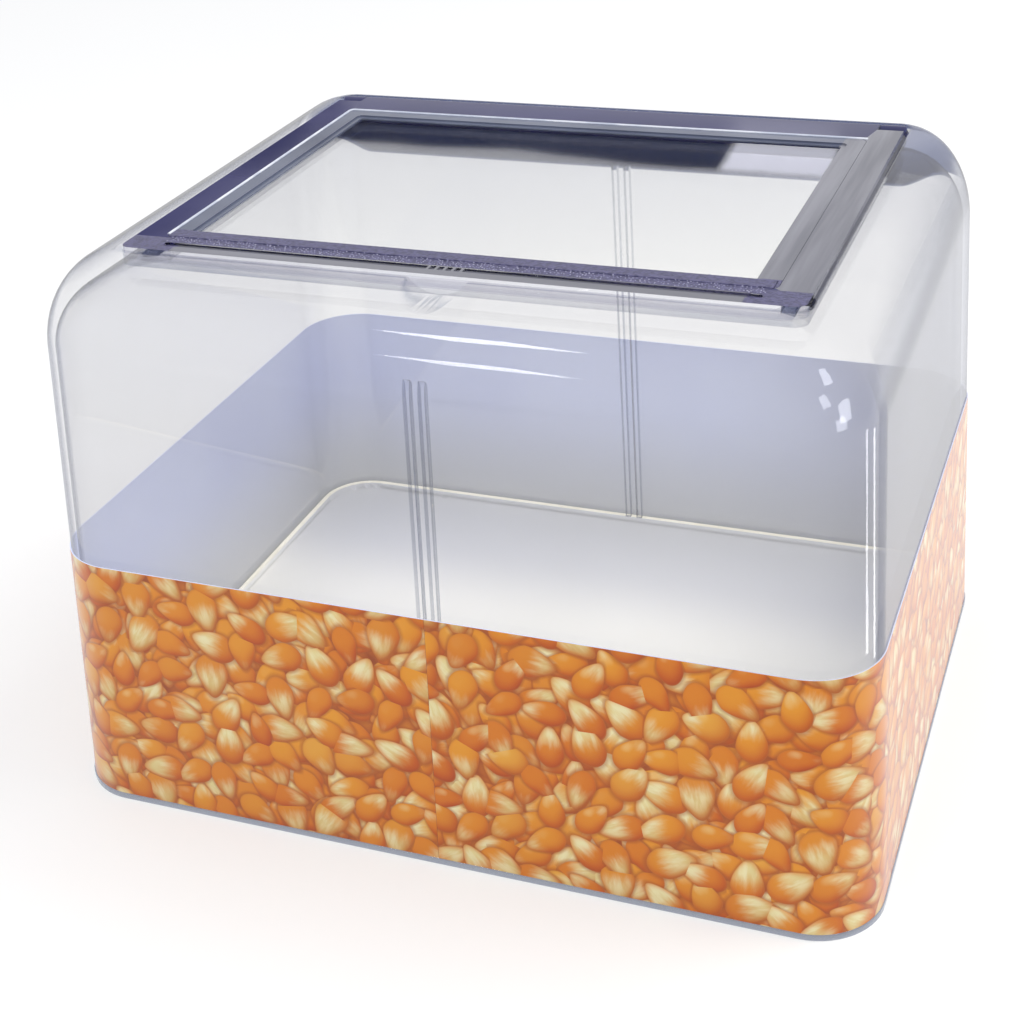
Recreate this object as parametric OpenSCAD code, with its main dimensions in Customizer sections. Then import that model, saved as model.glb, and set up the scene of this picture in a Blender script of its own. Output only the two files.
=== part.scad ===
// Clear bulk food bin with a hinged top lid, printed wrap and inserted floor.
// Millimetres, +Z up, front at -Y, origin at the bottom centre of the body.

/* [Body] */
// Overall width across the foot bead
body_w = 320; // [290:1:350]
// Overall depth across the foot bead
body_d = 256; // [240:1:290]
// Overall height to the top of the closed lid
body_h = 217; // [190:1:260]
// Lean of the four walls towards the top, in degrees
draft_deg = 3; // [2:0.1:3.4]
// Wall thickness of the clear shell
wall_t = 2.6; // [2.2:0.1:3.2]
// Plan radius of the upright corners
corner_r = 25; // [22:1:34]
// How far the rounded shoulder runs inwards at the two sides
shoulder_run = 25; // [20:1:28]
// Height of the rounded shoulder on all four sides
shoulder_rise = 34; // [28:1:40]

/* [Foot and floor] */
// Height of the outward foot bead under the wrap
foot_h = 2.2; // [1.6:0.1:3]
// How far the foot bead stands out from the wall
foot_out = 0.8; // [0.7:0.1:1.2]
// Thickness of the floor plate
floor_t = 3; // [2.4:0.1:3.6]
// Height of the upper edge of the floor pan above the table
floor_rim_z = 10.5; // [10:0.5:14]
// Width of the upstand around the floor pan
floor_rim_w = 2.4; // [2:0.1:3]

/* [Divider slots] */
// Width of each upright rib
rib_w = 2.4; // [2:0.1:3]
// Depth of the ribs in from the wall
rib_in = 3; // [2:0.1:4]
// Free width between the two ribs of a pair
slot_w = 3; // [2:0.1:4]
// Distance of the rounded rib ends below the top of the lid
rib_top_drop = 29; // [26:1:40]

/* [Wrap] */
// Height of the upper edge of the printed wrap
wrap_top_z = 104; // [80:1:120]
// Thickness of the printed wrap
wrap_t = 0.45; // [0.35:0.05:0.6]

/* [Lid] */
// Thickness of the lid frame
lid_t = 4.4; // [4:0.1:5]
// Width of the lid frame at its two sides
side_border = 11.5; // [11:0.5:15]
// Width of the lid frame at the front
front_border = 12; // [9:0.5:13]
// Width of the lid frame at the hinge side
rear_border = 22; // [18:0.5:25]
// Width of the clamping bezel inside the frame
bezel_w = 8.5; // [6:0.5:10]
// Thickness of the clear lid pane
pane_t = 2; // [1.6:0.1:2.2]
// Length of the finger groove along the front border
groove_len = 214; // [180:1:218]
// Diameter of the two hinge pins
pin_d = 2.4; // [2:0.1:2.8]
// Chord width of the thumb recess in the shell under the lid edge
thumb_w = 22; // [18:1:28]

/* [Hidden] */
$fn = 96;
eps = 0.01;
run_clear = 0.05;
seat_gap = 0.3;
side_gap = 0.5;
glue_gap = 0.1;
end_gap = 0.4;
lean = tan(draft_deg);

// Shell outline
half_w = body_w / 2 - foot_out;
half_d = body_d / 2 - foot_out;
rim_drop = 1;
shell_h = body_h - rim_drop;
shoulder_z = shell_h - shoulder_rise;
shoulder_steps = 14;
rim_t = 2.4;
half_w_shoulder = half_w - shoulder_z * lean;
half_d_shoulder = half_d - shoulder_z * lean;
top_half_w = half_w_shoulder - shoulder_run;

// Lid outline in plan
lid_half_w = top_half_w - rim_t - side_gap;
lid_r = 4;
rear_margin = 10.5;
front_margin = 27.3;
lid_front_y = -(half_d_shoulder - front_margin - rim_t - side_gap);
rear_gap = 0.8;
lid_rear_y = half_d_shoulder - rear_margin - rim_t - rear_gap;
top_front_y = lid_front_y - side_gap - rim_t;
top_rear_y = lid_rear_y + rear_gap + rim_t;
top_r = lid_r + side_gap + rim_t;

// Lid heights, from the ledge upwards
gasket_t = 2;
gasket_w = 5;
ledge_t = 3;
pocket_h = lid_t + gasket_t + seat_gap;
ledge_z = body_h - pocket_h;
frame_z = body_h - lid_t;
lip_t = (lid_t - pane_t) / 2;
lip_w = 3;
bezel_t = lid_t - pane_t - lip_t;
fit_gap = 0.15;

// Hinge
barrel_r = (pocket_h - seat_gap) / 2;
hinge_y = lid_rear_y - barrel_r;
hinge_z = body_h - barrel_r;
block_w = 9.8;
block_x = lid_half_w - block_w;
notch_y = hinge_y - barrel_r - 3;
block_corner_r = lid_r - 1;
pin_in_lid = 8.5;
pin_len = pin_in_lid + end_gap + block_w - 1;
bore_len = block_w - 0.7;

// Openings in the lid frame
frame_in_w = lid_half_w - side_border;
frame_in_front = lid_front_y + front_border;
frame_in_rear = lid_rear_y - rear_border;

// Grip strip and thumb recess
strip_half_w = frame_in_w - 1.5;
strip_w = bezel_w - 2;
strip_y = frame_in_front + fit_gap + bezel_w / 2;
strip_t = 0.8;
strip_sunk = 0.5;
thumb_depth = pocket_h - rim_drop - 0.1;

// Floor pan
rebate_step = 0.8;
rebate_top = floor_rim_z + seat_gap;
in_w_floor = half_w - wall_t - rebate_top * lean;
in_d_floor = half_d - wall_t - rebate_top * lean;
pan_half_w = in_w_floor + rebate_step - seat_gap;
pan_half_d = in_d_floor + rebate_step - seat_gap;
pan_r = corner_r - wall_t;
floor_rim_up = 3;
floor_z = floor_rim_z - floor_rim_up - floor_t;
floor_rib_h = 3;
floor_rib_w = 2;

clear_col = [0.86, 0.88, 0.94, 0.35];
violet_col = [0.30, 0.30, 0.46, 0.9];
steel_col = [0.75, 0.76, 0.78, 1];
print_col = [0.91, 0.57, 0.20, 1];

// A plan rectangle with round corners, from two squares and four circles.
module plan_rect(hw, y0, y1, r) {
    translate([-hw + r, y0]) square([2 * (hw - r), y1 - y0]);
    translate([-hw, y0 + r]) square([2 * hw, y1 - y0 - 2 * r]);
    for (sx = [-1, 1]) {
        translate([sx * (hw - r), y0 + r]) circle(r = r);
        translate([sx * (hw - r), y1 - r]) circle(r = r);
    }
}

// A flat ring of even width with round outer and inner corners.
module plan_ring(hw, y0, y1, r, width, r_in, h) {
    linear_extrude(h) difference() {
        plan_rect(hw, y0, y1, r);
        plan_rect(hw - width, y0 + width, y1 - width, r_in);
    }
}

// A plan rectangle with round corners, the same distance in front and behind.
module plan_centred(hw, hd, r) {
    plan_rect(hw, -hd, hd, r);
}

// One thin plan slice of the shell form, used as a loft section.
module section(z, hw, y0, y1, r) {
    translate([0, 0, z]) linear_extrude(eps) plan_rect(hw, y0, y1, r);
}

// A slice of the drafted walls at a height, moved outwards by a distance.
module wall_section(z, out) {
    w = half_w + out - z * lean;
    d = half_d + out - z * lean;
    section(z, w, -d, d, corner_r + out);
}

// The closed drafted form: straight leaning walls up to the shoulder, then
// sections that follow a quarter ellipse and tighten their corner radius.
// Inset moves all walls inwards; top_z is the height where the loft ends.
module lofted_form(inset, bottom_z, top_z) {
    rise = top_z - shoulder_z;
    hull() {
        wall_section(bottom_z, -inset);
        for (i = [0 : shoulder_steps]) {
            t = 90 * i / shoulder_steps;
            k = 1 - cos(t);
            section(
                shoulder_z + rise * sin(t) - (i == shoulder_steps ? eps : 0),
                half_w_shoulder - inset - k * (half_w_shoulder - top_half_w),
                -(half_d_shoulder - inset) + k * (half_d_shoulder + top_front_y),
                half_d_shoulder - inset - k * (half_d_shoulder - top_rear_y),
                corner_r - inset - k * (corner_r - top_r)
            );
        }
    }
}

// A plain drafted band form between two heights, outside the shell wall.
module band_form(out, z0, z1) {
    hull() {
        wall_section(z0, out);
        wall_section(z1, out);
    }
}

// Upright rib pair that guides a loose divider. It follows the wall's lean.
module divider_ribs(y_sign) {
    z0 = rebate_top;
    z1 = body_h - rib_top_drop;
    y0 = half_d - wall_t - z0 * lean;
    y1 = half_d - wall_t - z1 * lean;
    for (sx = [-1, 1]) {
        mirror([0, y_sign > 0 ? 0 : 1, 0])
        translate([sx * (slot_w + rib_w) / 2 - rib_w / 2, 0, 0])
        rotate([90, 0, 90])
        linear_extrude(rib_w) {
            polygon([[y0 - rib_in, z0], [y0 + wall_t / 2, z0], [y1 + wall_t / 2, z1], [y1 - rib_in, z1]]);
            intersection() {
                translate([y1, z1]) circle(r = rib_in);
                translate([y1 - rib_in, z1 - eps]) square([rib_in + wall_t / 2, rib_in + 1]);
            }
        }
    }
}

// The moulded shell: open at the bottom, ledge and lid pocket at the top.
module shell() {
    color(clear_col)
    difference() {
        union() {
            difference() {
                lofted_form(0, 0, shell_h);
                lofted_form(wall_t, -1, ledge_z - ledge_t);
            }
            // foot bead that carries the lower edge of the wrap
            difference() {
                linear_extrude(foot_h) plan_centred(body_w / 2, body_d / 2, corner_r + foot_out);
                translate([0, 0, -1])
                linear_extrude(foot_h + 2)
                plan_centred(half_w - wall_t / 2, half_d - wall_t / 2, corner_r - wall_t / 2);
            }
            divider_ribs(1);
            divider_ribs(-1);
        }
        // pocket that takes the whole lid
        translate([0, 0, ledge_z])
        linear_extrude(pocket_h + 1)
        plan_rect(lid_half_w + side_gap, lid_front_y - side_gap, lid_rear_y + rear_gap, lid_r + side_gap);
        // access opening inside the ledge
        translate([0, 0, ledge_z - ledge_t - shoulder_rise])
        linear_extrude(shoulder_rise + ledge_t + 1)
        plan_rect(frame_in_w + side_gap, frame_in_front - side_gap, frame_in_rear + side_gap, lid_r);
        // rebate for the floor pan
        translate([0, 0, -1])
        linear_extrude(rebate_top + 1)
        plan_centred(in_w_floor + rebate_step, in_d_floor + rebate_step, pan_r);
        thumb_recess();
    }
}

// Shallow round scallop through the front rim, under the lid edge.
module thumb_recess() {
    r = (thumb_w * thumb_w / 4 + thumb_depth * thumb_depth) / (2 * thumb_depth);
    translate([0, lid_front_y - side_gap + 1, shell_h - thumb_depth + r])
    rotate([90, 0, 0])
    cylinder(r = r, h = front_margin + 10);
}

// Floor pan: plate, upstand all round and a grid of ribs beneath.
module floor_pan() {
    color([0.88, 0.89, 0.93, 1]) {
        translate([0, 0, floor_z]) linear_extrude(floor_t) plan_centred(pan_half_w, pan_half_d, pan_r);
        translate([0, 0, floor_z - floor_rib_h])
        linear_extrude(floor_rim_z - floor_z + floor_rib_h)
        difference() {
            plan_centred(pan_half_w, pan_half_d, pan_r);
            plan_centred(pan_half_w - floor_rim_w, pan_half_d - floor_rim_w, pan_r - floor_rim_w);
        }
        for (i = [-3 : 3]) {
            x = i * pan_half_w / 4;
            translate([x, 0, floor_z - floor_rib_h / 2])
            cube([floor_rib_w, 2 * pan_half_d - floor_rim_w, floor_rib_h], center = true);
        }
        for (j = [-2 : 2]) {
            y = j * pan_half_d / 3;
            translate([0, y, floor_z - floor_rib_h / 2])
            cube([2 * pan_half_w - floor_rim_w, floor_rib_w, floor_rib_h], center = true);
        }
    }
}

// One half of the printed wrap, from the front seam round to the back seam.
module wrap_half(side) {
    color(print_col)
    intersection() {
        difference() {
            band_form(glue_gap + wrap_t, foot_h + 0.2, wrap_top_z);
            band_form(glue_gap, foot_h - 1, wrap_top_z + 2);
        }
        translate([side > 0 ? glue_gap : -body_w, -body_d, 0]) cube([body_w - glue_gap, 2 * body_d, body_h]);
    }
}

module wrap_left() {
    wrap_half(-1);
}

module wrap_right() {
    wrap_half(1);
}

// Hinge block bonded in a rear corner of the pocket. Its outer corner is round
// to clear the pocket corner, and the blind bore slips over the pin.
module hinge_block(side) {
    color(violet_col)
    difference() {
        intersection() {
            translate([side > 0 ? block_x : -block_x - block_w, hinge_y, hinge_z])
            rotate([90, 0, 90])
            linear_extrude(block_w) {
                circle(r = barrel_r);
                translate([-barrel_r, -barrel_r - seat_gap]) square([2 * barrel_r, barrel_r + seat_gap]);
            }
            translate([0, 0, ledge_z - 1])
            linear_extrude(pocket_h + 2)
            plan_rect(lid_half_w, lid_front_y, lid_rear_y, block_corner_r);
        }
        translate([side * (block_x - 1), hinge_y, hinge_z])
        rotate([0, side * 90, 0])
        cylinder(d = pin_d + 2 * run_clear, h = bore_len + 1);
    }
}

module hinge_block_left() {
    hinge_block(-1);
}

module hinge_block_right() {
    hinge_block(1);
}

// Steel pin, fixed in the end of the lid's barrel and turning in the block.
module hinge_pin(side) {
    x0 = block_x - end_gap - pin_in_lid;
    color(steel_col)
    translate([side > 0 ? x0 : -x0 - pin_len, hinge_y, hinge_z])
    rotate([0, 90, 0])
    cylinder(d = pin_d, h = pin_len);
}

module hinge_pin_left() {
    hinge_pin(-1);
}

module hinge_pin_right() {
    hinge_pin(1);
}

// Plan of the lid frame: notched at the rear corners for the hinge blocks.
module frame_plan() {
    plan_rect(lid_half_w, lid_front_y, notch_y, lid_r);
    translate([-lid_half_w, notch_y - 2 * lid_r]) square([2 * lid_half_w, 2 * lid_r]);
    translate([-block_x + end_gap, notch_y - 1]) square([2 * (block_x - end_gap), hinge_y - notch_y + 1]);
}

module lid_frame() {
    barrel_half = block_x - end_gap;
    groove_w = 3.2;
    groove_d = 0.8;
    groove_y = lid_front_y + front_border / 2;
    ridge_n = 5;
    ridge_pitch = 3;
    color(violet_col)
    difference() {
        union() {
            difference() {
                translate([0, 0, frame_z]) linear_extrude(lid_t) frame_plan();
                // rebate for pane and bezel
                translate([0, 0, frame_z + lip_t])
                linear_extrude(lid_t)
                plan_rect(frame_in_w, frame_in_front, frame_in_rear, lid_r);
                // window inside the lip
                translate([0, 0, frame_z - 1])
                linear_extrude(lid_t)
                plan_rect(frame_in_w - lip_w, frame_in_front + lip_w, frame_in_rear - lip_w, lid_r);
                // finger groove along the front border
                translate([0, groove_y, body_h - groove_d]) linear_extrude(2) {
                    square([groove_len - groove_w, groove_w], center = true);
                    for (sx = [-1, 1]) {
                        translate([sx * (groove_len - groove_w) / 2, 0]) circle(d = groove_w);
                    }
                }
            }
            // hinge barrel along the rear edge
            translate([-barrel_half, hinge_y, hinge_z])
            rotate([0, 90, 0])
            cylinder(r = barrel_r, h = 2 * barrel_half);
            // thumb ridges in the middle of the groove
            for (i = [0 : ridge_n - 1]) {
                translate([(i - (ridge_n - 1) / 2) * ridge_pitch, groove_y, body_h - groove_d / 2 - eps])
                cube([1, groove_w + 2 * eps, groove_d], center = true);
            }
        }
        for (sx = [-1, 1]) {
            translate([sx * (barrel_half + 1), hinge_y, hinge_z])
            rotate([0, -sx * 90, 0])
            cylinder(d = pin_d, h = pin_in_lid + 1);
        }
    }
}

// Clear pane that lies on the lip of the frame.
module lid_pane() {
    color(clear_col)
    translate([0, 0, frame_z + lip_t])
    linear_extrude(pane_t)
    plan_rect(frame_in_w - fit_gap, frame_in_front + fit_gap, frame_in_rear - fit_gap, lid_r - fit_gap);
}

// Bezel that clamps the pane: flush with the frame, inner edge stepped down.
module lid_bezel() {
    step_w = 2;
    hw = frame_in_w - fit_gap;
    y0 = frame_in_front + fit_gap;
    y1 = frame_in_rear - fit_gap;
    in = bezel_w - step_w;
    color([0.48, 0.50, 0.62, 1])
    translate([0, 0, body_h - bezel_t])
    difference() {
        plan_ring(hw, y0, y1, lid_r - fit_gap, bezel_w, 1.5, bezel_t);
        translate([0, 0, bezel_t / 2]) linear_extrude(bezel_t) plan_rect(hw - in, y0 + in, y1 - in, 2);
        // seat for the grip strip
        translate([0, strip_y, bezel_t - strip_sunk])
        linear_extrude(2)
        square([2 * (strip_half_w + fit_gap), strip_w + 2 * fit_gap], center = true);
    }
}

// Seal under the frame that meets the ledge of the shell.
module lid_gasket() {
    edge = 4.5;
    color([0.22, 0.22, 0.36, 1])
    translate([0, 0, frame_z - gasket_t])
    plan_ring(lid_half_w - edge, lid_front_y + 3, frame_in_rear + edge + 3, lid_r, gasket_w, 1.5, gasket_t);
}

// Grained grip strip let into the front run of the bezel.
module grip_strip() {
    color([0.36, 0.36, 0.44, 1])
    translate([0, strip_y, body_h - strip_sunk])
    linear_extrude(strip_t)
    square([2 * strip_half_w, strip_w], center = true);
}

shell();
floor_pan();
wrap_left();
wrap_right();
hinge_block_left();
hinge_block_right();
hinge_pin_left();
hinge_pin_right();
lid_frame();
lid_pane();
lid_bezel();
lid_gasket();
grip_strip();
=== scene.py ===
"""Looks of the clear counter-top bin with printed wrap and flip lid.

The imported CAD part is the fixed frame. Each sub-assembly is a class that builds its own smooth meshes over the
CAD nodes and dresses them; each finish is a frozen dataclass that writes one procedural material.
"""

import enum
import logging
import math
from dataclasses import dataclass
from typing import Any, Callable, ClassVar, Iterable, Optional, Sequence

import bmesh
import bpy
from mathutils import Matrix, Vector


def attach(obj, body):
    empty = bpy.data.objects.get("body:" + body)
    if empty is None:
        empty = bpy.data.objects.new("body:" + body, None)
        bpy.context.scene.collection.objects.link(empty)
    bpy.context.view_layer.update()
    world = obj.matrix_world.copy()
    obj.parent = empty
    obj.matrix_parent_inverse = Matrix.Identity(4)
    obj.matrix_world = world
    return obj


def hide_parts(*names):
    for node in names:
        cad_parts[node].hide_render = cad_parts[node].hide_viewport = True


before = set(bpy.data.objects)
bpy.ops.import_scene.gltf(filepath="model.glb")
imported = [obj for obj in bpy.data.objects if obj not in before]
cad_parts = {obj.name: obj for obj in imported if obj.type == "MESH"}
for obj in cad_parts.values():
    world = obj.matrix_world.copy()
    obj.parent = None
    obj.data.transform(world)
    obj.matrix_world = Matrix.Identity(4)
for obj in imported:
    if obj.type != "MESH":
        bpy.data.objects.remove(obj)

Pair = tuple[float, float]
Triple = tuple[float, float, float]
Tree = bpy.types.NodeTree
Node = bpy.types.Node
Socket = bpy.types.NodeSocket
Material = bpy.types.Material
Mesh = bpy.types.Mesh
Piece = bpy.types.Object
Stops = Sequence[tuple[float, str]]
Cut = tuple[Vector, Vector]
Pick = Callable[[Vector, Vector], int]

LOG = logging.getLogger("bin")
MM = 0.001
PHOTO_SIDE = 1024
SENSOR_MM = 36.0
DRAFT = math.radians(3)  # lean of the walls
LID_TOP = 217.0  # top of the closed lid in mm
WELD = 2e-6  # corners of the CAD triangles closer than this, in metres, are one


class Slot(enum.Enum):
    """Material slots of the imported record."""

    SHELL = "clear_shell"
    PANE = "clear_pane"
    FLOOR = "floor_plastic"
    WRAP = "printed_wrap"
    LID = "lid_plastic"
    BEZEL = "bezel_plastic"
    SEAL = "seal_rubber"
    GRIP = "grip_plastic"
    PIN = "pin_steel"


class Body(enum.Enum):
    """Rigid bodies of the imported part."""

    BIN = "body"
    LID = "lid"


class Kind(enum.Enum):
    """Nodes used again and again: Blender's type name and the settings that make the kind."""

    COORDS = ("ShaderNodeTexCoord", {})
    MAPPING = ("ShaderNodeMapping", {})
    NOISE = ("ShaderNodeTexNoise", {})
    CELLS = ("ShaderNodeTexVoronoi", {"voronoi_dimensions": "2D"})
    SLANT = ("ShaderNodeLayerWeight", {})
    RAY = ("ShaderNodeLightPath", {})
    BUMP = ("ShaderNodeBump", {})
    RAMP = ("ShaderNodeValToRGB", {})
    BLEND = ("ShaderNodeMix", {"data_type": "RGBA", "blend_type": "MIX"})
    STAIN = ("ShaderNodeMix", {"data_type": "RGBA", "blend_type": "MULTIPLY"})
    XYZ = ("ShaderNodeSeparateXYZ", {})
    EASE = ("ShaderNodeMapRange", {"interpolation_type": "SMOOTHSTEP"})
    EVEN = ("ShaderNodeMapRange", {"interpolation_type": "LINEAR"})
    PLUS = ("ShaderNodeMath", {"operation": "ADD"})
    MINUS = ("ShaderNodeMath", {"operation": "SUBTRACT"})
    TIMES = ("ShaderNodeMath", {"operation": "MULTIPLY"})
    TIMES_PLUS = ("ShaderNodeMath", {"operation": "MULTIPLY_ADD"})
    OVER = ("ShaderNodeMath", {"operation": "DIVIDE"})
    POWER = ("ShaderNodeMath", {"operation": "POWER"})
    ROOT = ("ShaderNodeMath", {"operation": "SQRT"})
    SIZE = ("ShaderNodeMath", {"operation": "ABSOLUTE"})
    MOST = ("ShaderNodeMath", {"operation": "MAXIMUM"})
    LEAST = ("ShaderNodeMath", {"operation": "MINIMUM"})
    VECTORS = ("ShaderNodeVectorMath", {})
    PLASTIC = ("ShaderNodeBsdfPrincipled", {})
    GLOSSY = ("ShaderNodeBsdfGlossy", {})
    MIXED = ("ShaderNodeMixShader", {})
    GLOW = ("ShaderNodeEmission", {})


# -------------------- colour and node helpers


def linear(code: str) -> tuple[float, float, float, float]:
    """Turns an sRGB hex colour into linear light.

    Args:
        code: six hex digits, such as "e1a02c".

    Returns:
        Red, green, blue and alpha 1, linear.
    """
    out = []
    for i in (0, 2, 4):
        v = int(code[i : i + 2], 16) / 255
        out.append(v / 12.92 if v <= 0.04045 else ((v + 0.055) / 1.055) ** 2.4)
    return (out[0], out[1], out[2], 1.0)


def feed(tree: Tree, value: Any, target: Socket) -> None:
    """Feeds one input.

    Args:
        tree: the node tree.
        value: a node, for its first output in use, or a socket, a number, a vector or a hex colour.
        target: the input.
    """
    if isinstance(value, Node):
        value = next(s for s in value.outputs if s.enabled)
    if isinstance(value, Socket):
        tree.links.new(value, target)
    else:
        target.default_value = linear(value) if isinstance(value, str) else value


def add(tree: Tree, kind: Any, feeds: Any = (), stops: Stops = (), **settings: Any) -> Node:
    """Adds one node with its settings, values and links.

    Args:
        tree: the node tree.
        kind: a kind, or Blender's type name.
        feeds: what goes in: a row for the inputs in use from the first on, or values by input name.
        stops: positions and hex colours of a colour ramp, in rising order.
        settings: further attributes of the node.

    Returns:
        The new node.
    """
    type_name, fixed = kind.value if isinstance(kind, Kind) else (kind, {})
    node = tree.nodes.new(type_name)
    for name, value in {**fixed, **settings}.items():
        setattr(node, name, value)
    if isinstance(feeds, dict):
        pairs = [(node.inputs[name], value) for name, value in feeds.items()]
    else:
        pairs = list(zip((s for s in node.inputs if s.enabled), feeds))
    for target, value in pairs:
        feed(tree, value, target)
    for i, (position, code) in enumerate(stops):
        points = node.color_ramp.elements
        while len(points) < len(stops):
            points.new(0.5)
        points[i].position = position
        points[i].color = linear(code)
    return node


def ends(tree: Tree, inputs: dict[str, str], outputs: dict[str, str]) -> tuple[Any, Any]:
    """Gives a node group its named inputs and outputs.

    Args:
        tree: the group.
        inputs: input names and their socket types.
        outputs: output names and their socket types.

    Returns:
        The sockets that give the inputs and the sockets that take the outputs, each by name.
    """
    for side, rows in (("INPUT", inputs), ("OUTPUT", outputs)):
        for name, kind in rows.items():
            tree.interface.new_socket(name, in_out=side, socket_type=f"NodeSocket{kind}")
    return tree.nodes.new("NodeGroupInput").outputs, tree.nodes.new("NodeGroupOutput").inputs


def seen(tree: Tree) -> Node:
    """Gives 1 for rays that show the surround, which are camera, glossy and transmission rays, and 0 for others.

    Args:
        tree: the tree that reads it.

    Returns:
        The node that ends in the factor.
    """
    ray = add(tree, Kind.RAY).outputs
    direct = add(tree, Kind.MOST, (ray["Is Camera Ray"], ray["Is Glossy Ray"]))
    return add(tree, Kind.MOST, (direct, ray["Is Transmission Ray"]))


# -------------------- finishes


@dataclass(frozen=True)
class Finish:
    """One procedural material, named for the real one."""

    name: str

    def surface(self, tree: Tree) -> Node:
        """Draws the finish in an empty tree and gives its last shader."""
        raise NotImplementedError

    def build(self) -> Material:
        """Makes the material.

        Returns:
            The material.
        """
        mat = bpy.data.materials.new(self.name)
        mat.use_nodes = True
        mat.node_tree.nodes.clear()
        add(mat.node_tree, "ShaderNodeOutputMaterial", {"Surface": self.surface(mat.node_tree)})
        return mat


@dataclass(frozen=True)
class ClearMoulding(Finish):
    """Clear injection-moulded plastic: nearly free of colour head-on, grey violet where seen along its wall."""

    facing_tint: str
    slant_tint: str
    rim_tint: str
    rough: float = 0.03
    gloss: float = 1.0
    most_gloss: float = 1.0
    ripple_mm: float = 90.0
    ripple: float = 0.02
    lighting_tint: str = "fbfbfb"

    def tint(self, tree: Tree, slant: Socket, where: Socket) -> Node:
        """Gives the colour that one surface lets through.

        Args:
            tree: the node tree.
            slant: 0 seen head-on, 1 seen along the surface.
            where: object coordinates.

        Returns:
            The node that ends in the colour.
        """
        stops = ((0.0, self.facing_tint), (0.62, self.slant_tint), (0.95, self.rim_tint))
        return add(tree, Kind.RAMP, [slant], stops=stops)

    def surface(self, tree: Tree) -> Node:
        """Draws a see-through film whose tint deepens towards the rim, under a Fresnel gloss.

        Args:
            tree: the material's tree, empty as yet.

        Returns:
            The last shader.
        """
        where = add(tree, Kind.COORDS).outputs["Object"]
        waves = add(tree, Kind.NOISE, {"Vector": where, "Scale": 1 / (self.ripple_mm * MM), "Detail": 1.0})
        bump = add(tree, Kind.BUMP, {"Height": waves, "Strength": self.ripple, "Distance": 0.01})
        slant = add(tree, Kind.SLANT).outputs["Facing"]
        # light passes almost untinted, or two walls and a lid would darken what is inside
        ray = add(tree, Kind.RAY).outputs
        lighting = add(tree, Kind.MOST, (ray["Is Shadow Ray"], ray["Is Diffuse Ray"]))
        colour = add(tree, Kind.BLEND, (lighting, self.tint(tree, slant, where), self.lighting_tint))
        clear = add(tree, "ShaderNodeBsdfTransparent", [colour])
        shine = add(tree, Kind.GLOSSY, {"Color": "ffffff", "Roughness": self.rough, "Normal": bump})
        # Schlick's curve from the facing value, which is the same on both sides of a wall: no false total reflection
        curve = add(tree, Kind.POWER, (slant, 5.0))
        share = add(tree, Kind.TIMES_PLUS, (curve, 0.96 * self.gloss, 0.04 * self.gloss), use_clamp=True)
        share = add(tree, Kind.LEAST, (share, self.most_gloss))
        return add(tree, Kind.MIXED, (share, clear, shine))


@dataclass(frozen=True)
class TintedMoulding(ClearMoulding):
    """The same moulding with violet pigment drawn into the rear shoulder, painted shade as darker rims along the
    shoulders, and painted shade at the foot.
    """

    low_z: float = 187.2
    high_z: float = 206.0
    band_y: float = 99.0
    band_half_w: float = 138.0
    end_run: float = 20.0
    end_rise: float = 8.0
    low_tint: str = "5b6487"
    mid_tint: str = "727a9a"
    high_tint: str = "9298b2"
    shoulder_z: Pair = (180.0, 198.0)
    shoulder_painted_rim: str = "333857"
    foot_z: Pair = (2.2, 3.2)
    foot_painted_shade: str = "d2d5dd"

    def tint(self, tree: Tree, slant: Socket, where: Socket) -> Node:
        """Gives the clear tint, turned by place to the band's, and to the painted shade of the shoulder rims and the
        foot.

        Args:
            tree: the node tree.
            slant: 0 seen head-on, 1 seen along the surface.
            where: object coordinates.

        Returns:
            The node that ends in the colour.
        """
        x, y, z = add(tree, Kind.XYZ, [where]).outputs
        plain = super().tint(tree, slant, where)
        # painted shade: a darker rim where the shoulders are seen along their wall, for the dark lines along their
        # silhouettes
        upper = add(tree, Kind.EASE, (z, self.shoulder_z[0] * MM, self.shoulder_z[1] * MM))
        rim = add(tree, Kind.TIMES, (add(tree, Kind.EASE, (slant, 0.72, 0.9)), upper))
        plain = add(tree, Kind.BLEND, (rim, plain, self.shoulder_painted_rim))
        side, half = add(tree, Kind.SIZE, [x]), self.band_half_w
        # the band's lower edge rises towards its ends
        rise = add(tree, Kind.EASE, (side, (half - self.end_run) * MM, half * MM, 0.0, self.end_rise * MM))
        edge = add(tree, Kind.MINUS, (z, rise))
        up = add(tree, Kind.EVEN, (edge, self.low_z * MM, self.high_z * MM))
        band = add(tree, Kind.RAMP, [up], stops=((0.0, self.low_tint), (0.5, self.mid_tint), (1.0, self.high_tint)))
        behind = add(tree, Kind.EASE, (y, self.band_y * MM, (self.band_y + 2) * MM))
        above = add(tree, Kind.EASE, (edge, self.low_z * MM, (self.low_z + 0.8) * MM))
        within = add(tree, Kind.EASE, (side, half * MM, (half + 8) * MM, 1.0, 0.0))
        share = add(tree, Kind.TIMES, (add(tree, Kind.TIMES, (behind, above)), within))
        # painted shade: the foot, down at the floor, is tinted grey
        foot = add(tree, Kind.EASE, (z, self.foot_z[0] * MM, self.foot_z[1] * MM, 1.0, 0.0))
        return add(tree, Kind.BLEND, (foot, add(tree, Kind.BLEND, (share, plain, band)), self.foot_painted_shade))


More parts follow.
